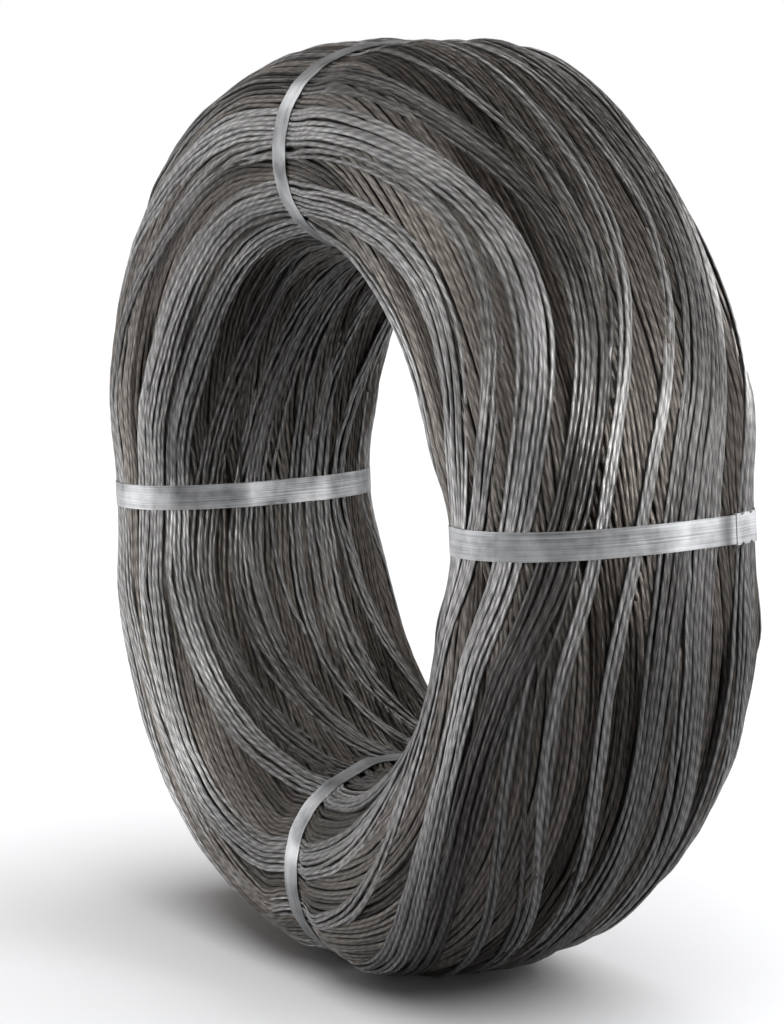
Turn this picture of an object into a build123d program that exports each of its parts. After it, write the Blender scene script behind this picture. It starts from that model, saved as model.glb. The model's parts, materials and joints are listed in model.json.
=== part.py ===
"""A strapped coil of steel wire rod, standing on its rim.

The coil's axis lies along Y and its ends face -Y and +Y. The origin is on the floor, below the
middle of the coil. The rod was laid round and round into a thick ring with a rounded section and
tied with four flat steel straps, each closed by a crimped seal. Every strap draws the turns in, so
the ring has a waist at each strap and stands on the two shoulders beside the lowest one.

All sizes are in millimetres. A section is drawn in a plane through the coil's axis: its first
coordinate runs along the axis and its second is the distance from the axis.
"""

import os
from math import asin, atan, cos, degrees, hypot, pi, radians, sin

from build123d import *

# The coil
rod_diameter = 5.5
outer_diameter = 1150.0
bore_diameter = 615.0
coil_width = 380.0
bore_land = 130.0  # straight stretch along the bore, where the turns lay on the winding drum
section_fullness = 2.45  # 2 is an oval section, and a larger number is a squarer one
rods_per_ridge = 7  # neighbouring turns that lie close and read as one ridge
ridge_height = 5.0  # from the gap between two ridges up to the crest

# The waist at each strap
strap_angles = {"top": 4.0, "right": 88.0, "bottom": 180.0, "left": 268.5}  # clockwise from the top
rim_pinch = 10.0  # how far a strap draws the rim in
end_pinch = 14.0  # how far a strap draws each end in
bore_pinch = 3.0  # how far a strap draws the wall of the bore in
shoulder_reach = 80.0  # from the middle of a strap to where the coil has its full size again
seat_margin = 2.0  # straight seat beside each edge of the strap

# The straps
strap_width = 32.0
strap_thickness = 0.9
strap_clearance = 0.3
lap_length = 62.0  # how far the strap's end lies over its start
lap_clearance = 0.1
step_length = 2.0  # where the strap steps up from the coil onto its own start

# The seals
seal_length = 44.0
seal_sheet = 1.0
seal_clearance = 0.15
seal_from_end = 78.0  # middle of the seal, measured along the axis from the coil's end
seal_lip = 11.0  # width of each edge that is folded under the strap
crimp_spacing = 19.0
crimp_width = 9.0
crimp_depth = 3.0

outer_radius = outer_diameter / 2
bore_radius = bore_diameter / 2
shoulder_angle = degrees(asin(shoulder_reach / outer_radius))
seat_half = strap_width / 2 + seat_margin
seal_place = coil_width / 2 - seal_from_end
ridge_pitch = rods_per_ridge * rod_diameter
land_end = bore_land / 2 - ridge_height

# The section of the coil is an oval with squarer corners, half of it inside and half outside its middle
full_size = (coil_width / 2, bore_radius, outer_radius)
waist_size = (coil_width / 2 - end_pinch, bore_radius + bore_pinch, outer_radius - rim_pinch)


def rounded_outline(size, samples=4000):
    """Points along the section that the gaps between ridges lie on, from the land round the rim."""
    half_width, inner, outer = size
    half_length = half_width - ridge_height
    half_height = (outer - inner) / 2 - ridge_height
    middle = (outer + inner) / 2
    power = 2 / section_fullness

    def point(turn):
        across, out = -sin(turn), -cos(turn)
        return (
            half_length * abs(across) ** power * (1 if across >= 0 else -1),
            middle + half_height * abs(out) ** power * (1 if out >= 0 else -1),
        )

    points = [point(2 * pi * i / samples) for i in range(samples + 1)]
    return [p for p in points if abs(p[0]) >= bore_land / 2 or p[1] > middle]


def outline_length(points):
    return sum(hypot(b[0] - a[0], b[1] - a[1]) for a, b in zip(points, points[1:]))


def evenly_spaced(points, count):
    """count + 1 points at equal steps along a fine row of points."""
    step = outline_length(points) / count
    picked = [points[0]]
    reach = 0.0
    for a, b in zip(points, points[1:]):
        reach += hypot(b[0] - a[0], b[1] - a[1])
        if reach >= step * len(picked) and len(picked) < count:
            picked.append(b)
    return picked + [points[-1]]


# An even number of ridges, so that the coil stands on the two crests beside the middle of its rim
ridge_count = 2 * round(outline_length(rounded_outline(full_size)) / (2 * ridge_pitch))


def crest(gap, next_gap):
    """The top of the ridge between two gaps, on the outer side of the section."""
    along, out = next_gap[0] - gap[0], next_gap[1] - gap[1]
    rise = ridge_height / hypot(along, out)
    return ((gap[0] + next_gap[0]) / 2 - out * rise, (gap[1] + next_gap[1]) / 2 + along * rise)


def ridged_section(size):
    """The corners of a section: the gaps and crests of its ridges, and the straight land of the bore."""
    gaps = evenly_spaced(rounded_outline(size), ridge_count)
    corners = [gaps[0]]
    for gap, next_gap in zip(gaps, gaps[1:]):
        corners += [crest(gap, next_gap), next_gap]
    return corners + [(land_end, size[1]), (-land_end, size[1])]


full_section = ridged_section(full_size)
waist_section = ridged_section(waist_size)

rim_radius = max(out for across, out in full_section)
coil_centre = Vector(0, 0, rim_radius * cos(radians(shoulder_angle)))
coil_axis = Axis(coil_centre, (0, 1, 0))


def section_plane(angle):
    """The plane through the coil's axis at an angle from the top, clockwise seen from the front."""
    turn = radians(angle)
    return Plane(origin=coil_centre, x_dir=(0, 1, 0), z_dir=(cos(turn), 0, -sin(turn)))


def section_face(section, plane):
    with BuildSketch(plane) as sketch:
        with BuildLine():
            Polyline(*section, close=True)
        make_face()
    return sketch.sketch.face()


def skin(stretch):
    """The faces of a stretch of the coil, without the two flat sections that end it."""
    ends = stretch.faces().filter_by(GeomType.PLANE).sort_by(SortBy.AREA)[-2:]
    return stretch.faces() - ends


def waist(angle):
    """The straight stretch under a strap, and the flanks that widen to the shoulders beside it."""
    plane = section_plane(angle)
    with BuildPart() as seat:
        extrude(section_face(waist_section, plane), amount=seat_half, both=True)
    with BuildPart() as flank_before:
        shoulder = section_face(full_section, section_plane(angle - shoulder_angle))
        loft([shoulder, section_face(waist_section, plane.offset(-seat_half))], ruled=True)
    with BuildPart() as flank_after:
        shoulder = section_face(full_section, section_plane(angle + shoulder_angle))
        loft([section_face(waist_section, plane.offset(seat_half)), shoulder], ruled=True)
    return skin(flank_before.part) + skin(seat.part) + skin(flank_after.part)


def full_turn(angle, next_angle):
    """The round stretch from one strap's shoulder to the next strap's."""
    with BuildPart() as turn:
        revolve(
            section_face(full_section, section_plane(angle + shoulder_angle)),
            axis=coil_axis,
            revolution_arc=next_angle - angle - 2 * shoulder_angle,
        )
    return skin(turn.part)


angles = list(strap_angles.values())
coil_skin = []
for angle, next_angle in zip(angles, angles[1:] + [angles[0] + 360]):
    coil_skin += waist(angle) + full_turn(angle, next_angle)
with BuildPart() as rod_coil:
    add(Solid(Shell(coil_skin)))
rod_coil.part.label = "rod_coil"

# The seal's folded edges lie between the strap and the turns, so they hold the strap up there
seal_rise = seal_sheet + 2 * seal_clearance - strap_clearance
lap_bottom = strap_clearance + strap_thickness + lap_clearance
lap_top = lap_bottom + strap_thickness
lap_reach = lap_length / 2  # enough to cut across the strap where it bends away from its seal
seal_bottom = strap_clearance - seal_clearance - seal_sheet
seal_top = lap_top + seal_clearance + seal_sheet


def seal_seat():
    """The place and the slope of the seal's middle on the section of the waist, in that section's plane."""
    half_length, inner, outer = waist_size
    share = seal_place / half_length
    rest = 1 - share**section_fullness
    rise = (outer - inner) / 2 * rest ** (1 / section_fullness)
    slope = -rise / rest * share ** (section_fullness - 1) / half_length
    return Location((seal_place, (outer + inner) / 2 + rise), degrees(atan(slope)))


seat = seal_seat() * Pos(0, seal_rise)
# A pulled strap bridges the gaps between ridges, so its path is the convex outline of the waist
raised_ends = [(seat * Pos(end * seal_length / 2, 0)).position for end in (-1, 1)]
with BuildSketch() as strap_path:
    with BuildLine():
        Polyline(*waist_section, *raised_ends, close=True)
    make_hull()


def seal_plane(angle):
    """The plane of a seal's seat: x runs along the strap and z points away from the coil."""
    place = Plane(section_plane(angle).location * seat)
    return Plane(origin=place.origin, x_dir=place.x_dir, z_dir=place.y_dir)


def strap_ring(bottom, top):
    """A closed ring round the coil's section, between two heights above the path."""
    with BuildSketch() as ring:
        offset(strap_path.sketch, amount=top, kind=Kind.INTERSECTION)
        offset(strap_path.sketch, amount=bottom, kind=Kind.INTERSECTION, mode=Mode.SUBTRACT)
    return ring.sketch


with BuildSketch() as band:
    add(strap_ring(strap_clearance, strap_clearance + strap_thickness))
    with Locations(seat * Pos((step_length - lap_length) / 2, 0)):
        Rectangle(step_length, lap_reach, mode=Mode.SUBTRACT)

with BuildSketch() as lap:
    add(strap_ring(lap_bottom, lap_top))
    with Locations(seat):
        Rectangle(lap_length, lap_reach, mode=Mode.INTERSECT)

with BuildSketch() as step:
    add(strap_ring(strap_clearance, lap_top))
    with Locations(seat * Pos(-(step_length + lap_length) / 2, 0)):
        Rectangle(step_length, lap_reach, mode=Mode.INTERSECT)


def crimped_outline(half_width, half_length):
    """A strip with the notches of the crimps in both its edges, drawn in the sketch that is open."""
    edge = []
    for middle in (-crimp_spacing / 2, crimp_spacing / 2):
        edge.append((middle - crimp_width / 2, half_width))
        edge.append((middle, half_width - crimp_depth))
        edge.append((middle + crimp_width / 2, half_width))
    upper = [(-half_length, half_width)] + edge + [(half_length, half_width)]
    lower = [(x, -y) for x, y in reversed(upper)]
    return Polyline(*upper, *lower, close=True)


def strap(angle):
    """One strap, from its start under the seal right round the coil's section and over its own start."""
    with BuildPart() as piece:
        with BuildSketch(section_plane(angle)):
            add(band.sketch)
            add(lap.sketch)
            add(step.sketch)
        extrude(amount=strap_width / 2, both=True)
        with BuildSketch(seal_plane(angle)):
            Rectangle(seal_length, strap_width + seal_sheet)
            with BuildLine():
                crimped_outline(strap_width / 2, seal_length)
            make_face(mode=Mode.SUBTRACT)
        extrude(amount=seal_top, mode=Mode.SUBTRACT)
    return piece.part


def seal(angle):
    """A sheet sleeve round the lap, open along the middle of its underside, with two crimps."""
    seat_plane = seal_plane(angle)
    cavity_width = strap_width / 2 + seal_clearance
    with BuildPart() as piece:
        with BuildSketch(seat_plane.offset(seal_bottom)):
            with BuildLine():
                crimped_outline(cavity_width + seal_sheet, seal_length / 2)
            make_face()
        extrude(amount=seal_top - seal_bottom)
        with BuildSketch(seat_plane.offset(seal_bottom + seal_sheet)):
            with BuildLine():
                crimped_outline(cavity_width, seal_length)
            make_face()
        extrude(amount=seal_top - seal_bottom - 2 * seal_sheet, mode=Mode.SUBTRACT)
        with BuildSketch(seat_plane.offset(seal_bottom)):
            Rectangle(2 * seal_length, 2 * (cavity_width + seal_sheet - seal_lip))
        extrude(amount=seal_sheet, mode=Mode.SUBTRACT)
    return piece.part


os.makedirs("parts", exist_ok=True)
pieces = [rod_coil.part]
for name, angle in strap_angles.items():
    strap_piece = strap(angle)
    strap_piece.label = f"strap_{name}"
    seal_piece = seal(angle)
    seal_piece.label = f"seal_{name}"
    pieces += [strap_piece, seal_piece]
for piece in pieces:
    export_step(piece, f"parts/{piece.label}.step")
    print(piece.label, len(piece.solids()), piece.is_valid, round(piece.volume), piece.bounding_box())
print(ridge_count, "ridges, rim", rim_radius, "centre", coil_centre.Z, "land", 2 * land_end)
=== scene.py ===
# %% [markdown]
# # A strapped coil of steel wire rod
#
# The real thing is one very long steel rod, laid round and round into a thick ring and tied with
# four flat steel straps. This lesson dresses the plain model of that coil: some hundreds of turns
# of rod take the place of the solid ring, and the straps and their seals get the finish of
# galvanised steel.
#
# The first step loads the model that everything is fitted to. All lengths are in metres.

# %% Load the model
import json
import math

import bpy
import numpy as np
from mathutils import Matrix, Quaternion, Vector


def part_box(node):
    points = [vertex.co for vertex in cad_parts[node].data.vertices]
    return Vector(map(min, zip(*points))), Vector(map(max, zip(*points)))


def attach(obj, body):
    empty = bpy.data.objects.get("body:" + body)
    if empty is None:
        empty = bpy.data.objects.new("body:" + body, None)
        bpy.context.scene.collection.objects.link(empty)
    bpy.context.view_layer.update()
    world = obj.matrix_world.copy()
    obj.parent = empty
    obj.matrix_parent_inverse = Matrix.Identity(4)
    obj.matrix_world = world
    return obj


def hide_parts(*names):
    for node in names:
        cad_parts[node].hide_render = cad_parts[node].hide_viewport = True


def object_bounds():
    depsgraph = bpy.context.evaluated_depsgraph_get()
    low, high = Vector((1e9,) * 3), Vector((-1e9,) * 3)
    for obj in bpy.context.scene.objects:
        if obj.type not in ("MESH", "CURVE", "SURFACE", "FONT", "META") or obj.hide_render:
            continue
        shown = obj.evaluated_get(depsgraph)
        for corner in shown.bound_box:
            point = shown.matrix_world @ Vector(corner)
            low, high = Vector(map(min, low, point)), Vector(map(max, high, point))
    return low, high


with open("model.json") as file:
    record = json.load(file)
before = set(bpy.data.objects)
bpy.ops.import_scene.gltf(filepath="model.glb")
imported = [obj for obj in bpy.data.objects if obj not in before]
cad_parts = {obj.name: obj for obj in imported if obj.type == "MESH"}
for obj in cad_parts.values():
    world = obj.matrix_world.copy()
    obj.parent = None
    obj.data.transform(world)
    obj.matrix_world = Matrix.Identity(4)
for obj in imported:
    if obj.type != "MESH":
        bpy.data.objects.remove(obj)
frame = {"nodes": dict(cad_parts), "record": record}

model_low, model_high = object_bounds()
bpy.ops.object.select_all(action="DESELECT")
print("loaded", sorted(frame["nodes"]))
print("the model reaches from", tuple(model_low), "to", tuple(model_high))

# %% [markdown]
# ## The size of the coil
#
# The coil's axis runs through the middle of its bore, so the model's record says where it is. A
# section through one side of the ring is an oval with squarer corners. Under each strap the ring is
# drawn in a little, which makes it a second, smaller oval there: the waist.

# %% The coil's sizes
coil_centre = Vector(frame["record"]["mounts"][0]["pos_m"])
rod_radius = 0.00275
full_section = (0.190, 0.3075, 0.575)  # half width, radius of the bore, radius of the rim
waist_section = (0.176, 0.3105, 0.565)
section_fullness = 2.45
bore_land = 0.062  # the wall of the bore is straight this far to each side of its middle
land_fade = 0.085  # and fully rounded from this far on
strap_angles = {"top": 4.0, "right": 88.0, "bottom": 180.0, "left": 268.5}  # degrees from the top
seat_half = 0.018  # a strap pulls the coil to its full waist this far to each side
shoulder_reach = {"top": 0.110, "right": 0.170, "bottom": 0.080, "left": 0.190}
slack_places = [(221, 22, 0.018), (22, 13, 0.014)]  # angle and spread in degrees, height
print("the axis is", round(coil_centre.z, 4), "above the floor")

# %% [markdown]
# ## The surface that the rods lie on
#
# A rod needs to know where the coil's surface is, wherever it goes. Two numbers say where a point
# is: its share of the way round the section, and its angle round the ring, clockwise from the top.
# A third number sinks it below the surface. Each section is measured once, at even steps along its
# outline, and any point is then read between two of those steps.

# %% Measure the two sections
outline_steps = 2048
fine_steps = 16000
near_steps = 3  # directions are taken between points this many steps to each side


def section_outline(size):
    """Points, outward directions and bends at even steps round a section, and its length."""
    half_width, inner, outer = size
    turn = np.linspace(0, 2 * np.pi, fine_steps + 1)[:-1]
    across, out = -np.sin(turn), -np.cos(turn)
    power = 2 / section_fullness
    along = half_width * np.sign(across) * np.abs(across) ** power
    height = (outer - inner) / 2 * np.sign(out) * np.abs(out) ** power
    radius = (outer + inner) / 2 + height
    flat = np.clip((land_fade - np.abs(along)) / (land_fade - bore_land), 0, 1)
    radius = np.where(out < 0, radius + (inner - radius) * flat * flat * (3 - 2 * flat), radius)
    points = np.stack([along, radius], -1)
    step = np.linalg.norm(np.roll(points, -1, 0) - points, axis=1)
    reach = np.concatenate([[0], np.cumsum(step)])
    closed = np.vstack([points, points[:1]])
    even = np.linspace(0, reach[-1], outline_steps, endpoint=False)
    points = np.stack([np.interp(even, reach, closed[:, i]) for i in (0, 1)], -1)
    ahead = np.roll(points, -near_steps, 0) - np.roll(points, near_steps, 0)
    ahead /= np.linalg.norm(ahead, axis=1, keepdims=True)
    outward = np.stack([-ahead[:, 1], ahead[:, 0]], -1)
    turned = np.roll(outward, -near_steps, 0) - np.roll(outward, near_steps, 0)
    turned = np.linalg.norm(turned, axis=1)
    bend = turned / (2 * near_steps * reach[-1] / outline_steps)
    return points, outward, bend, reach[-1]


full_points, full_outward, _, full_length = section_outline(full_section)
waist_points, waist_outward, waist_bend, waist_length = section_outline(waist_section)
middle_radius = (full_section[1] + full_section[2]) / 2
facing = np.sum(full_outward * (full_points - [0, middle_radius]), axis=1)
print("section lengths", round(full_length, 4), round(waist_length, 4))
print("all directions point outwards:", facing.min() > 0)


# %% Read the surface between the steps
def read_round(table, share):
    """Values of a closed table at shares of the way round it."""
    place = share * len(table)
    start = np.floor(place).astype(int)
    part = place - start
    if table.ndim == 2:
        part = part[..., None]
    return table[start % len(table)] * (1 - part) + table[(start + 1) % len(table)] * part


def smooth(value):
    """A soft step from 0 to 1."""
    value = np.clip(value, 0, 1)
    return value * value * (3 - 2 * value)


def from_strap(ring_angle, name):
    """The distance along the rim from the middle of a strap."""
    turn = ring_angle - math.radians(strap_angles[name])
    turn = (turn + np.pi) % (2 * np.pi) - np.pi
    return full_section[2] * np.abs(turn)


def drawn_in(ring_angle):
    """1 under the straps, and 0 from their shoulders on."""
    pull = np.zeros_like(ring_angle)
    for name in strap_angles:
        away = (from_strap(ring_angle, name) - seat_half) / (shoulder_reach[name] - seat_half)
        pull = np.maximum(pull, 1 - smooth(away))
    return pull


def sag(ring_angle):
    """How far the rim bulges where slack turns sag out between two straps."""
    swell = np.zeros_like(ring_angle)
    for middle, spread, height in slack_places:
        turn = (ring_angle - math.radians(middle) + np.pi) % (2 * np.pi) - np.pi
        swell += height * np.exp(-((turn / math.radians(spread)) ** 2))
    return swell


def coil_surface(share, ring_angle, depth):
    """Points below the coil's surface, and the outward directions there."""
    pull = drawn_in(ring_angle)[:, None]
    point = read_round(full_points, share) * (1 - pull) + read_round(waist_points, share) * pull
    outward = read_round(full_outward, share) * (1 - pull) + read_round(waist_outward, share) * pull
    outward /= np.linalg.norm(outward, axis=-1, keepdims=True)
    point = point - outward * depth[..., None]
    outer_side = smooth((point[..., 1] - full_section[1]) / (full_section[2] - full_section[1]))
    point[..., 1] += outer_side * sag(ring_angle) * (1 - pull[:, 0])
    sine, cosine = np.sin(ring_angle), np.cos(ring_angle)
    place = [point[..., 1] * sine, point[..., 0], coil_centre.z + point[..., 1] * cosine]
    direction = [outward[..., 1] * sine, outward[..., 0], outward[..., 1] * cosine]
    return np.stack(place, -1), np.stack(direction, -1)


print("drawn in at 4, 12 and 45 degrees:", drawn_in(np.radians([4, 12, 45])).round(2))

# %% [markdown]
# ## Rods as tubes
#
# Every turn of rod is a thin tube with five or six sides, shaded smooth so that it looks round. A
# curve with a bevel would make such a tube too, but hundreds of them are quicker to make together:
# all the corners of all the tubes are worked out in one go and put into one mesh. Each tube keeps
# its length in its UV map, so that a finish can run along the rod, and a tone of its own.

# %% The corners of the tubes
def tube_corners(path, outward, sides):
    """Rings of corners round every step of the paths, kept inside the model's box."""
    ahead = np.roll(path, -1, 1) - np.roll(path, 1, 1)
    ahead /= np.linalg.norm(ahead, axis=-1, keepdims=True)
    sideways = np.cross(ahead, outward)
    sideways /= np.linalg.norm(sideways, axis=-1, keepdims=True)
    upward = np.cross(sideways, ahead)
    around = 2 * np.pi * np.arange(sides) / sides
    radius = rod_radius * math.sqrt(2 * np.pi / sides / math.sin(2 * np.pi / sides))
    ring = upward[:, :, None] * np.cos(around)[:, None]
    ring = ring + sideways[:, :, None] * np.sin(around)[:, None]
    corners = path[:, :, None] + radius * ring
    return np.clip(corners, np.array(model_low), np.array(model_high)).reshape(-1, 3)


# %% The faces of the tubes
def tube_faces(path, sides):
    """The four corners of every face, and the UVs of those corners in metres along the rod."""
    count, steps = path.shape[:2]
    counts = (np.arange(count), np.arange(steps), np.arange(sides))
    tube, span, side = np.meshgrid(*counts, indexing="ij")
    next_span, next_side = (span + 1) % steps, (side + 1) % sides
    first = tube * steps * sides
    quads = np.stack([
        first + span * sides + side,
        first + span * sides + next_side,
        first + next_span * sides + next_side,
        first + next_span * sides + side,
    ], -1).reshape(-1, 4)
    length = np.linalg.norm(np.roll(path, -1, 1) - path, axis=-1)
    reach = np.concatenate([np.zeros((count, 1)), np.cumsum(length, 1)], 1)
    near, far = reach[tube, span], reach[tube, span + 1]
    left, right = side / sides, (side + 1) / sides
    uv = np.stack([
        np.stack([left, near], -1),
        np.stack([right, near], -1),
        np.stack([right, far], -1),
        np.stack([left, far], -1),
    ], -2).reshape(-1, 2)
    return quads, uv


# %% Make tubes from paths
def make_tubes(name, path, outward, tone, sides):
    """One mesh of closed tubes along paths, with a tone for each."""
    count, steps = path.shape[:2]
    corners = tube_corners(path, outward, sides)
    quads, uv = tube_faces(path, sides)
    loops, starts = quads.ravel(), np.arange(len(quads)) * 4

    mesh = bpy.data.meshes.new(name)
    mesh.vertices.add(len(corners))
    mesh.vertices.foreach_set("co", corners.astype(np.float32).ravel())
    mesh.loops.add(len(loops))
    mesh.loops.foreach_set("vertex_index", loops.astype(np.int32))
    mesh.polygons.add(len(starts))
    mesh.polygons.foreach_set("loop_start", starts.astype(np.int32))
    mesh.polygons.foreach_set("use_smooth", np.ones(len(starts), bool))
    mesh.update(calc_edges=True)
    mesh.uv_layers.new(name="along_rod").data.foreach_set("uv", uv.astype(np.float32).ravel())
    tones = np.repeat(tone, steps * sides).astype(np.float32)
    mesh.attributes.new("rod_tone", "FLOAT", "POINT").data.foreach_set("value", tones)
    mesh.validate()
    piece = bpy.data.objects.new(name, mesh)
    bpy.context.collection.objects.link(piece)
    print(name, count, "rods,", 2 * len(quads), "triangles")
    return piece


# %% [markdown]
# ## How the turns lie
#
# The turns don't lie evenly. They run in ribbons, from a single rod to about a dozen that stay
# close together. In the upper layer the ribbons wander sideways on their way round, open dark
# valleys between them and climb over each other at small angles. The layer below fills the valleys,
# and it is closer and calmer. Smooth closed waves with seeded phases give all of that, so that each
# rod meets itself again after one turn and no end shows.
#
# Where two ribbons cross, the lower one dips about as far as its rods need to pass under the other.

# %% Smooth waves
dice = np.random.default_rng(7)


def waves(count, lowest, highest, size, ring_angle):
    """Smooth curves round the ring, made of this many to that many waves a turn."""
    orders = np.arange(lowest, highest + 1)
    weight = dice.normal(size=(count, len(orders)))
    weight *= size / np.sqrt((weight ** 2).sum(1, keepdims=True) / 2)
    phase = dice.uniform(0, 2 * np.pi, (count, len(orders)))
    curve = np.cos(orders[:, None] * ring_angle + phase[..., None])
    return (weight[..., None] * curve).sum(1)


# %% Ribbons
rod_pitch = 0.0059  # from one rod of a ribbon to the next
valley_swing = 0.8  # how strongly a valley widens and narrows on its way round
valley_range = (0.4, 1.6)  # narrowest and widest valley, beside the usual one
drift_starts = (1.0, 4.0)  # where the two waves of the common drift of a layer start
deepest_dip = 4 * rod_radius


def split_into_ribbons(total, smallest, largest):
    """Numbers of rods in the ribbons, which add up to the total."""
    sizes = []
    while sum(sizes) < total:
        sizes.append(int(min(dice.integers(smallest, largest + 1), total - sum(sizes))))
    return np.array(sizes)


def lay_ribbons(sizes, length, drift, wander, ring_angle):
    """The middle of each ribbon along the section's outline, at each angle."""
    valley = np.exp(valley_swing * waves(len(sizes), 1, 3, 1, ring_angle))
    valley *= dice.uniform(*valley_range, (len(sizes), 1))
    valley *= (length - sizes.sum() * rod_pitch) / valley.sum(0)
    width = sizes[:, None] * rod_pitch
    middle = np.cumsum(valley + width, 0) - (valley + width) / 2
    first, second = drift_starts
    middle += drift * (np.cos(ring_angle + first) + 0.5 * np.cos(2 * ring_angle + second))
    return middle + waves(len(sizes), 1, 3, wander, ring_angle)


def dip_under(place, own_rank, ribbons, length):
    """How far each rod has to go down where ribbons of a higher rank lie over it."""
    dip = np.zeros_like(place)
    for middle, size, rank in ribbons:
        apart = place - middle
        apart -= length * np.round(apart / length)
        beside = np.abs(apart) - size * rod_pitch / 2 + rod_radius
        needed = np.sqrt(np.clip((2 * rod_radius) ** 2 - np.clip(beside, 0, None) ** 2, 0, None))
        dip += needed * (own_rank < rank)[:, None]
    return np.minimum(dip, deepest_dip)


print("a ribbon of eight rods is", round(8 * rod_pitch, 4), "wide")

# %% [markdown]
# ## The two layers of rod
#
# Only the outer turns can be seen. The upper layer carries the look, so its tubes have the most
# sides. The layer under it shows in the valleys, in a darker copy of the steel that is painted
# shade. A body painted nearly black fills the inside, as painted shade where no light gets in.
#
# Under a strap all ribbons of the upper layer come up to the strap, which pulls them level. The
# layer below comes up between them there, and dips under them, so that the valleys close.

# %% Lay a layer
path_steps = 264
fine_sway, fine_rise = 0.00035, 0.00028  # how a rod trembles sideways, and up and down
ribbon_rise, rod_rise, most_rise = 0.0008, 0.0008, 0.0018  # slower waves up and down
least_depth = 0.0003  # no rod comes closer to the coil's surface
strap_gap = 0.0004
strap_bow = 0.000185  # square of the flat stretch between two bends of a strap, over 8
strap_play = 0.0008  # some rods lie this much further below the strap
layer_gap = 0.0006  # between the two layers under a strap
ribbon_tone, own_tone = 0.75, 0.25  # shares of a rod's tone


def strap_depth(share):
    """How far below the surface a strap reaches where it bends from one ridge to the next."""
    return strap_gap + strap_bow * read_round(waist_bend, share)


def lay_layer(name, sizes, sides, pieces, layout, above=None):
    """A layer of closed turns of rod, split into pieces so that no mesh is too large."""
    ring_angle = 2 * np.pi * np.arange(path_steps) / path_steps
    pull = drawn_in(ring_angle)
    length = full_length + (waist_length - full_length) * pull
    middle = lay_ribbons(sizes, length, layout["drift"], layout["wander"], ring_angle)
    ribbon = np.repeat(np.arange(len(sizes)), sizes)
    number = np.concatenate([np.arange(size) - (size - 1) / 2 for size in sizes])
    count = len(ribbon)
    place = middle[ribbon] + number[:, None] * rod_pitch
    place += waves(count, 2, 9, layout["sway"], ring_angle)
    place += waves(count, 20, 44, fine_sway, ring_angle)

    # ribbons of a high rank lie over the others, and the edges of a wide ribbon hang down
    rank = dice.permutation(len(sizes))
    edge = (2 * number / sizes[ribbon]) ** 2 * (sizes[ribbon] > 2)
    rise = waves(len(sizes), 1, 6, ribbon_rise, ring_angle)
    sunk = (1 - rank / len(sizes))[ribbon][:, None]
    depth = layout["highest"] + (layout["lowest"] - layout["highest"]) * sunk
    depth = depth + layout["rounding"] * edge[:, None] + rise[ribbon]
    depth += np.clip(waves(count, 3, 14, rod_rise, ring_angle), -most_rise, most_rise)
    depth += waves(count, 24, 44, fine_rise, ring_angle)
    share = place / length
    shallow = strap_depth(share) + dice.uniform(0, strap_play, (count, 1))
    ribbons = list(zip(middle, sizes, rank))
    if above:
        shallow += layer_gap + dip_under(place, np.full(count, -1), above, length)
    depth = np.maximum(depth * (1 - pull) + shallow * pull, least_depth)
    if not above:
        depth += dip_under(place, rank[ribbon], ribbons, length)
    path, outward = coil_surface(share, ring_angle, rod_radius + depth)

    tone = ribbon_tone * dice.uniform(0, 1, len(sizes))[ribbon]
    tone = tone + own_tone * dice.uniform(0, 1, count)
    made = []
    for part, rows in enumerate(np.array_split(np.arange(count), pieces)):
        part_name = f"{name}_{part + 1}"
        made.append(make_tubes(part_name, path[rows], outward[rows], tone[rows], sides))
    return made, ribbons


# %% Lay both layers
# how far a layer drifts, its ribbons wander and its rods sway sideways, how deep its highest and
# lowest ribbons lie, and how far a ribbon's edges hang below its middle
upper_layout = {
    "drift": 0.014,
    "wander": 0.0100,
    "sway": 0.0011,
    "highest": 0.0003,
    "lowest": 0.0050,
    "rounding": 0.0040,
}
lower_layout = {
    "drift": -0.030,
    "wander": 0.001,
    "sway": 0.0008,
    "highest": 0.0055,
    "lowest": 0.0075,
    "rounding": 0.0015,
}
upper_sizes = split_into_ribbons(108, 1, 8)
upper_rods, upper_ribbons = lay_layer("upper_rods", upper_sizes, 6, 2, upper_layout)
lower_count = int(full_length / rod_pitch) + 1
lower_sizes = split_into_ribbons(lower_count, 3, 14)
lower_rods, _ = lay_layer("lower_rods", lower_sizes, 5, 3, lower_layout, upper_ribbons)

# %% [markdown]
# ## The dark inside
#
# The body under the rods starts as a torus, and its points are then moved to the coil's surface,
# well below the second layer, so it has the waists too.

# %% Shape the body under the rods
core_turns, core_steps = 180, 72
core_depth = 0.0140
start_radius = 0.1  # any radius does, because the points are moved
bpy.ops.mesh.primitive_torus_add(
    major_segments=core_turns,
    minor_segments=core_steps,
    major_radius=middle_radius,
    minor_radius=start_radius,
)
dark_core = bpy.context.object
dark_core.name = "dark_core"
points = np.zeros(len(dark_core.data.vertices) * 3)
dark_core.data.vertices.foreach_get("co", points)
points = points.reshape(-1, 3)
torus_angle = np.arctan2(points[:, 0], points[:, 1])
minor_angle = np.arctan2(points[:, 2], np.hypot(points[:, 0], points[:, 1]) - middle_radius)
core_share = minor_angle / (2 * np.pi)
placed = [
    coil_surface(np.array([[share]]), np.array([angle]), np.array([[core_depth]]))[0][0, 0]
    for share, angle in zip(core_share, torus_angle)
]
dark_core.data.vertices.foreach_set("co", np.array(placed, np.float32).ravel())
dark_core.data.update()
bpy.ops.object.mode_set(mode="EDIT")
bpy.ops.mesh.select_all(action="SELECT")
bpy.ops.mesh.normals_make_consistent(inside=False)
bpy.ops.object.mode_set(mode="OBJECT")
bpy.ops.object.shade_smooth()
bpy.ops.object.select_all(action="DESELECT")
print("dark_core", len(dark_core.data.polygons), "faces")

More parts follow.
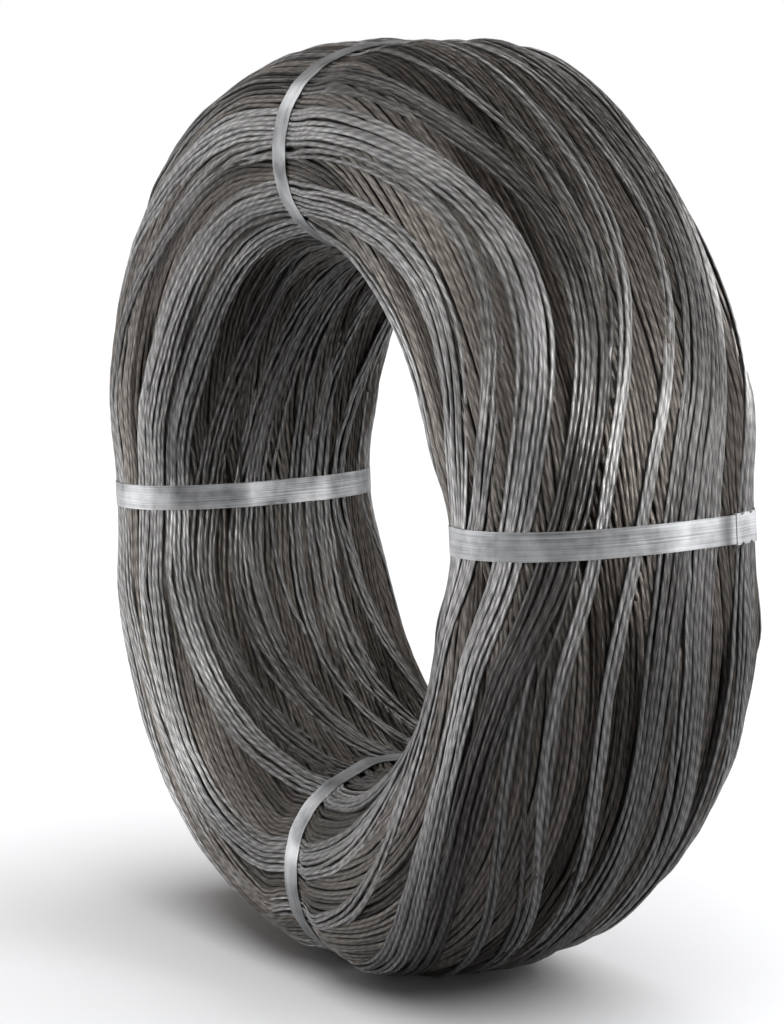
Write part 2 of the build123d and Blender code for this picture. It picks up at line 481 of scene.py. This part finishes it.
# %% [markdown]
# ## The straps
#
# A strap is a flat strip that is pulled tight, and it bends from one bundle of rods to the next.
# The model's strap has that shape already, with flat stretches between its bends. A copy of it gets
# each bend rounded by a bevel and is then shaded smooth along its length, so that the light runs
# along the strip. Its thin edges, and the step where its two ends lap at the seal, stay sharp.

# %% Straps with rounded bends
strap_width = 0.032
bend_reach = 0.008  # how far a rounded bend reaches along the strip
bend_steps = 4
lap_reach = 0.045  # no bend is rounded this close to the seal, where the ends lap
sharp_angle = math.radians(29)
flat_angle = math.radians(0.5)
same_place = 0.00001
strips = {}
for name, angle in strap_angles.items():
    strip = bpy.data.objects.new(f"strip_{name}", frame["nodes"][f"strap_{name}"].data.copy())
    bpy.context.collection.objects.link(strip)
    bpy.context.view_layer.objects.active = strip
    strip.select_set(True)
    bpy.ops.object.mode_set(mode="EDIT")
    bpy.ops.mesh.select_all(action="SELECT")
    bpy.ops.mesh.remove_doubles(threshold=same_place)
    bpy.ops.mesh.dissolve_limited(angle_limit=flat_angle)
    bpy.ops.object.mode_set(mode="OBJECT")
    across = Vector((math.cos(math.radians(angle)), 0, -math.sin(math.radians(angle))))
    seal_low, seal_high = (Vector(corner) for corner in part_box(f"seal_{name}"))
    rounding = strip.data.attributes.new("bevel_weight_edge", "FLOAT", "EDGE")
    bends = 0
    for edge in strip.data.edges:
        start, end = (strip.data.vertices[corner].co for corner in edge.vertices)
        spans_strip = abs((end - start).dot(across)) > 0.99 * strap_width
        if spans_strip and ((start + end) / 2 - (seal_low + seal_high) / 2).length > lap_reach:
            rounding.data[edge.index].value = 1
            bends += 1
    bevel = strip.modifiers.new("rounded_bends", "BEVEL")
    bevel.limit_method = "WEIGHT"
    bevel.width = bend_reach
    bevel.segments = bend_steps
    bpy.ops.object.modifier_apply(modifier=bevel.name)
    bpy.ops.object.shade_smooth_by_angle(angle=sharp_angle)
    bpy.ops.object.select_all(action="DESELECT")
    strips[name] = strip
    print(strip.name, bends, "rounded bends,", len(strip.data.polygons), "faces")

# %% [markdown]
# ## The finish of the rod
#
# Steel wire rod is a dark, slightly warm grey with a satin sheen. No two turns have quite the same
# tone, and along one rod the sheen comes and goes, because the rod was coiled and rubbed against
# its neighbours. The rod's own UV map runs along it, so the streaks do too. A shallow lay that
# winds round each rod breaks its highlight into short dashes, and its grooves get painted shade
# and its crests a painted highlight. Each rod also gets painted shade on its sides and inside the
# bore, and a painted highlight on its crown.

# %% Helpers for materials
def new_material(name):
    """An empty node material with its main shader."""
    material = bpy.data.materials.new(name)
    material.use_nodes = True
    nodes = material.node_tree.nodes
    nodes.clear()
    output = nodes.new("ShaderNodeOutputMaterial")
    shader = nodes.new("ShaderNodeBsdfPrincipled")
    material.node_tree.links.new(shader.outputs["BSDF"], output.inputs["Surface"])
    return material, shader


def add_node(material, kind, values=(), **settings):
    """A node of this kind, with its settings and the values or links of its inputs."""
    node = material.node_tree.nodes.new(kind)
    for name, value in settings.items():
        setattr(node, name, value)
    for name, value in values:
        if isinstance(value, bpy.types.NodeSocket):
            material.node_tree.links.new(value, node.inputs[name])
        else:
            node.inputs[name].default_value = value
    return node


def math_node(material, operation, *values):
    """The result of one step of arithmetic."""
    inputs = list(enumerate(values))
    return add_node(material, "ShaderNodeMath", inputs, operation=operation).outputs[0]


def map_range(material, value, before, after):
    """A value carried over from one range to another, and held inside it."""
    names = ("From Min", "From Max", "To Min", "To Max")
    inputs = [("Value", value), *zip(names, (*before, *after))]
    return add_node(material, "ShaderNodeMapRange", inputs).outputs["Result"]


def noise(material, place, scale, detail):
    """Soft noise from 0 to 1."""
    inputs = [("Vector", place), ("Scale", scale), ("Detail", detail)]
    return add_node(material, "ShaderNodeTexNoise", inputs).outputs["Fac"]


def ramp(material, value, positions, colours):
    """A colour that fades from the first one to the second between two positions."""
    node = add_node(material, "ShaderNodeValToRGB", [("Fac", value)])
    for element, position, colour in zip(node.color_ramp.elements, positions, colours):
        element.position = position
        element.color = colour
    return node.outputs["Color"]


def finish_metal(material, shader, colour, roughness, relief, distance, strength):
    """Gives the shader its colour, its roughness and a fine relief of this height."""
    inputs = [("Height", relief), ("Distance", distance), ("Strength", strength)]
    normal = add_node(material, "ShaderNodeBump", inputs).outputs["Normal"]
    material.node_tree.links.new(colour, shader.inputs["Base Color"])
    material.node_tree.links.new(roughness, shader.inputs["Roughness"])
    material.node_tree.links.new(normal, shader.inputs["Normal"])
    shader.inputs["Metallic"].default_value = 1.0


# %% The lay of a rod, and its painted shade and highlights
lay_turns = 46.0  # turns of the lay in a metre of rod
lay_starts = 2.0  # ridges of the lay side by side
lay_relief = 0.15  # height of the lay, beside that of the fine streaks
painted_lay_range = (0.66, 1.12)  # brightness of the painted shade in the lay's grooves and the painted highlight on its crests
flank_shade_range = (0.10, 1.0)  # brightness of the painted shade at a rod's sides and the painted highlight on its crown
bore_shade_range = (0.85, 1.0)  # brightness of the painted shade in the bore, and on the rest of the coil
bore_shade_reach = (0.31, 0.40)  # distance from the axis over which the one becomes the other


def wound_lay(material, around, along, slow):
    """A wave that winds round the rod, from -1 to 1."""
    winding = math_node(material, "MULTIPLY_ADD", along, lay_turns, slow)
    winding = math_node(material, "MULTIPLY_ADD", around, lay_starts, winding)
    return math_node(material, "SINE", math_node(material, "MULTIPLY", winding, 2 * math.pi))


def painted_rod_shade(material, around, lay):
    """Painted shade and highlights: darker beside its crown, between the lays and inside the bore.
    """
    # painted shade in the grooves of the lay and a painted highlight on its crests
    lit_lay = map_range(material, lay, (-0.8, 0.8), painted_lay_range)
    # painted shade on the rod's sides, where its neighbours shade it, and a painted highlight on
    # its crown
    crown = math_node(material, "COSINE", math_node(material, "MULTIPLY", around, 2 * math.pi))
    painted_flank_shade = map_range(material, crown, (0.1, 0.95), flank_shade_range)
    # painted shade inside the bore, where less light reaches
    place = add_node(material, "ShaderNodeTexCoord").outputs["Object"]
    from_axis = add_node(
        material,
        "ShaderNodeVectorMath",
        [(0, place), (1, (1, 0, 1)), (2, (0, 0, -coil_centre.z))],
        operation="MULTIPLY_ADD",
    ).outputs["Vector"]
    out = add_node(material, "ShaderNodeVectorMath", [(0, from_axis)], operation="LENGTH")
    painted_bore_shade = map_range(material, out.outputs["Value"], bore_shade_reach, bore_shade_range)
    brightness = math_node(material, "MULTIPLY", lit_lay, painted_flank_shade)
    return math_node(material, "MULTIPLY", brightness, painted_bore_shade)


# %% Rod steel
rod_shift = 90.0  # metres between the patterns of the darkest and the brightest rod
slow_scale, fine_scale = 5.0, 70.0
tone_share, fine_share = 0.6, 0.9  # beside the slow streaks, which count once
tone_range = (0.85, 1.65)  # the sum of the three at the darkest and at the lightest colour
roughness_spread = 0.20
rod_relief = (0.0030, 0.9)  # distance and strength


def rod_steel(name, darkest, lightest, roughest):
    """Dark steel with a tone for each rod, painted shade and highlights, and a lay that winds round
    it.
    """
    material, shader = new_material(name)
    uv = add_node(material, "ShaderNodeUVMap", uv_map="along_rod")
    tone = add_node(material, "ShaderNodeAttribute", attribute_name="rod_tone").outputs["Fac"]
    split = add_node(material, "ShaderNodeSeparateXYZ", [("Vector", uv.outputs["UV"])])
    around = split.outputs["X"]
    along = math_node(material, "MULTIPLY_ADD", tone, rod_shift, split.outputs["Y"])
    streaks = add_node(material, "ShaderNodeCombineXYZ", [("X", around), ("Y", along)]).outputs[0]
    slow = noise(material, streaks, slow_scale, 2.0)
    fine = noise(material, streaks, fine_scale, 2.0)
    mixed = math_node(material, "MULTIPLY_ADD", tone, tone_share, slow)
    mixed = math_node(material, "MULTIPLY_ADD", fine, fine_share, mixed)
    level = map_range(material, mixed, tone_range, (0, 1))
    colour = ramp(material, level, (0, 1), (darkest, lightest))

    lay = wound_lay(material, around, along, slow)
    # the rod's colour times its painted shade and highlights
    colour_with_painted_shade = add_node(
        material,
        "ShaderNodeVectorMath",
        [("Vector", colour), ("Scale", painted_rod_shade(material, around, lay))],
        operation="SCALE",
    ).outputs["Vector"]
    rough = map_range(material, fine, (0, 1), (roughest - roughness_spread, roughest))
    relief = math_node(material, "MULTIPLY_ADD", lay, lay_relief, fine)
    finish_metal(material, shader, colour_with_painted_shade, rough, relief, *rod_relief)
    return material


rod_dark, rod_light = (0.0185, 0.0148, 0.0122, 1), (0.323, 0.319, 0.317, 1)
# the layer below gets a darker copy of the steel: painted shade
below_shade_dark, below_shade_light = (0.0115, 0.0085, 0.0066, 1), (0.162, 0.147, 0.134, 1)
bright_rod = rod_steel("rod_steel", rod_dark, rod_light, 0.42)
shaded_rod = rod_steel("rod_steel_below_painted_shade", below_shade_dark, below_shade_light, 0.50)
print("made", bright_rod.name, "and", shaded_rod.name)

# %% [markdown]
# ## The dark inside and the straps
#
# The inside is painted nearly black, as painted shade, with a rough grain. The straps are bright
# galvanised strip. Their brushing runs along the strip, so it changes quickly across the strip and
# slowly along it: each strap's pattern is turned to its own angle round the ring, and squeezed
# across.

# %% Dark body
grain_scale = 80.0


# the body inside is painted nearly black: painted shade
def painted_shade_inside():
    """Nearly black, as painted shade, with a rough grain."""
    material, shader = new_material("painted_shade_inside")
    place = add_node(material, "ShaderNodeTexCoord").outputs["Object"]
    grain = noise(material, place, grain_scale, 3.0)
    colour = ramp(material, grain, (0, 1), ((0.004, 0.004, 0.004, 1), (0.02, 0.018, 0.017, 1)))
    material.node_tree.links.new(colour, shader.inputs["Base Color"])
    shader.inputs["Roughness"].default_value = 0.9
    shader.inputs["Specular IOR Level"].default_value = 0.05
    return material


# %% Galvanised strip
brushing_scale = (900.0, 6.0, 6.0)  # across the strip, and along it
brushing_share = 0.6  # beside the patches, which count once
patch_scale = 22.0
strip_levels = (0.55, 1.0)  # the sum of the two at the darkest and at the lightest colour
strip_roughness = (0.66, 0.52)
strip_relief = (0.0006, 0.5)  # distance and strength


def galvanised(name, angle, darkest, lightest):
    """Brushed galvanised steel, with the brushing across this angle round the ring."""
    material, shader = new_material(name)
    place = add_node(material, "ShaderNodeTexCoord").outputs["Object"]
    turned = add_node(
        material,
        "ShaderNodeMapping",
        [("Vector", place), ("Rotation", (0, -math.radians(angle), 0))],
    )
    squeezed = add_node(
        material,
        "ShaderNodeMapping",
        [("Vector", turned.outputs["Vector"]), ("Scale", brushing_scale)],
    )
    brushing = noise(material, squeezed.outputs["Vector"], 1.0, 2.0)
    patches = noise(material, place, patch_scale, 4.0)
    mixed = math_node(material, "MULTIPLY_ADD", brushing, brushing_share, patches)
    colour = ramp(material, mixed, strip_levels, (darkest, lightest))
    rough = map_range(material, mixed, (0, 1 + brushing_share), strip_roughness)
    finish_metal(material, shader, colour, rough, mixed, *strip_relief)
    return material


# %% [markdown]
# ## Every piece and its finish
#
# The upper rods get the brighter steel, and the rods below them a darker copy of it, which is
# painted shade. The seals keep the model's own shape, so only their material changes. Every new
# piece is then tied to the model: it moves with the one body and it takes the place of a node.

# %% Give every piece its finish
strip_dark, strip_light = (0.055, 0.056, 0.058, 1), (0.23, 0.234, 0.238, 1)
seal_dark, seal_light = (0.13, 0.133, 0.137, 1), (0.38, 0.387, 0.394, 1)


def dress(piece, material):
    """Gives a piece this material alone."""
    piece.data.materials.clear()
    piece.data.materials.append(material)


for piece in upper_rods:
    dress(piece, bright_rod)
for piece in lower_rods:
    dress(piece, shaded_rod)
dress(dark_core, painted_shade_inside())
for name, angle in strap_angles.items():
    dress(strips[name], galvanised(f"strap_steel_{name}", angle, strip_dark, strip_light))
    seal_finish = galvanised(f"seal_steel_{name}", angle, seal_dark, seal_light)
    for place in frame["nodes"][f"seal_{name}"].material_slots:
        place.material = seal_finish
print("finishes:", sorted(material.name for material in bpy.data.materials))

# %% Tie the pieces to the model
for piece in [*upper_rods, *lower_rods, dark_core]:
    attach(piece, "root")
    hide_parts("rod_coil")
for name, strip in strips.items():
    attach(strip, "root")
    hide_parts(f"strap_{name}")
print("the rods and straps take the place of five nodes of the model")

# %% [markdown]
# ## Floor, light and camera
#
# The coil stands on a plain pale floor in soft white light. A rod shines where it lies square to
# the middle between the lamp and the eye, so each lamp lights one stretch of the ring: five lamps
# stand round the front end, one beside the rim, and one shines into the bore from behind. They
# would wash the shadow off the floor, so light linking keeps them from it, and the floor has a wide
# soft light of its own, high on the right, which throws the coil's shadow to the left.

# %% Floor
floor_size = 400
bpy.ops.mesh.primitive_plane_add(size=floor_size)
floor = bpy.context.object
floor.name = "floor"
floor_finish, floor_shader = new_material("pale_floor")
floor_shader.inputs["Base Color"].default_value = (0.80, 0.81, 0.83, 1)
floor_shader.inputs["Roughness"].default_value = 1.0
floor_shader.inputs["Specular IOR Level"].default_value = 0.0
dress(floor, floor_finish)
print("the floor is", floor_size, "metres wide")


# %% Helpers for lamps
def aim(lamp, place):
    """A lamp at a place round the middle of the coil, turned to face the middle."""
    holder = bpy.data.objects.new(lamp.name, lamp)
    holder.location = coil_centre + Vector(place)
    holder.rotation_mode = "QUATERNION"
    holder.rotation_quaternion = (-Vector(place)).to_track_quat("-Z", "Y")
    bpy.context.collection.objects.link(holder)
    return holder


def light_floor(holder, state):
    """Lets a lamp light the floor alone, with INCLUDE, or all but the floor, with EXCLUDE."""
    lit = bpy.data.collections.new(f"{holder.name}_floor")
    lit.objects.link(floor)
    holder.light_linking.receiver_collection = lit
    lit.collection_objects[0].light_linking.link_state = state


def add_lamp(name, place, width, height, power):
    """A soft lamp with a rectangular front, which lights the coil and not the floor."""
    lamp = bpy.data.lights.new(name, "AREA")
    lamp.shape = "RECTANGLE"
    lamp.size, lamp.size_y = width, height
    lamp.energy = power
    light_floor(aim(lamp, place), "EXCLUDE")


# %% Lamps
# each with its place from the middle of the coil, its width, its height and its power in watts
add_lamp("high_lamp", (0.1, -2.0, 3.0), 1.2, 1.2, 35)
add_lamp("right_lamp", (1.6, -1.6, 2.4), 1.2, 1.2, 120)
add_lamp("front_lamp", (-0.9, -2.8, 0.5), 1.4, 1.2, 70)
add_lamp("left_lamp", (-2.2, -1.6, 2.0), 1.2, 1.2, 66)
add_lamp("low_lamp", (-1.14, -1.09, -0.27), 0.9, 0.5, 13)
add_lamp("rim_lamp", (2.7, 1.7, 0.75), 0.7, 1.3, 160)
add_lamp("bore_lamp", (0.3, 1.3, 0.5), 0.5, 0.5, 12)
floor_light = bpy.data.lights.new("floor_light", "SUN")
floor_light.energy = 4.2
floor_light.angle = math.radians(80)
light_floor(aim(floor_light, (1.2, 0.3, 2.7)), "INCLUDE")
print(len(bpy.data.lights), "lamps")

# %% [markdown]
# The surroundings are white low down, so that the floor runs into a white background, and a dull
# grey higher up, which fills the shadows between the rods a little.

# %% Surroundings
surroundings = bpy.data.worlds.new("studio")
surroundings.use_nodes = True
sky = surroundings.node_tree.nodes["Background"]
direction = add_node(surroundings, "ShaderNodeTexCoord").outputs["Generated"]
height = add_node(surroundings, "ShaderNodeSeparateXYZ", [("Vector", direction)]).outputs["Z"]
fade = ramp(surroundings, height, (0.06, 0.25), ((1.0, 1.0, 1.0, 1), (0.197, 0.18, 0.167, 1)))
surroundings.node_tree.links.new(fade, sky.inputs["Color"])
bpy.context.scene.world = surroundings
bpy.context.scene.view_settings.view_transform = "Standard"
print("the surroundings are", surroundings.name)

# %% [markdown]
# The camera looks at the coil from the right of its front end and a little from above. Its place,
# its long lens, its slight roll and its shift come from the outlines of the rim, the bore and the
# straps in the photograph.

# %% Camera
azimuth, elevation, roll = (math.radians(x) for x in (60.26, 7.10, 1.6))
distance = 6.5 * full_section[2]
away = Vector((
    math.sin(azimuth) * math.cos(elevation),
    -math.cos(azimuth) * math.cos(elevation),
    math.sin(elevation),
))
picture_width, picture_height = 784, 1024
view_centre_px = (405.6, 506.8)
focal_px = 3044
sensor_width = 36
camera_data = bpy.data.cameras.new("camera")
camera_data.sensor_width = sensor_width
camera_data.lens = focal_px / picture_height * sensor_width
camera_data.shift_x = -(view_centre_px[0] - picture_width / 2) / picture_height
camera_data.shift_y = (view_centre_px[1] - picture_height / 2) / picture_height
camera = bpy.data.objects.new("camera", camera_data)
camera.rotation_mode = "QUATERNION"
camera.location = coil_centre + away * distance
camera.rotation_quaternion = (-away).to_track_quat("-Z", "Y") @ Quaternion((0, 0, 1), -roll)
bpy.context.collection.objects.link(camera)
bpy.context.scene.camera = camera
print("camera at", tuple(round(x, 3) for x in camera.location), "lens", round(camera_data.lens, 1))
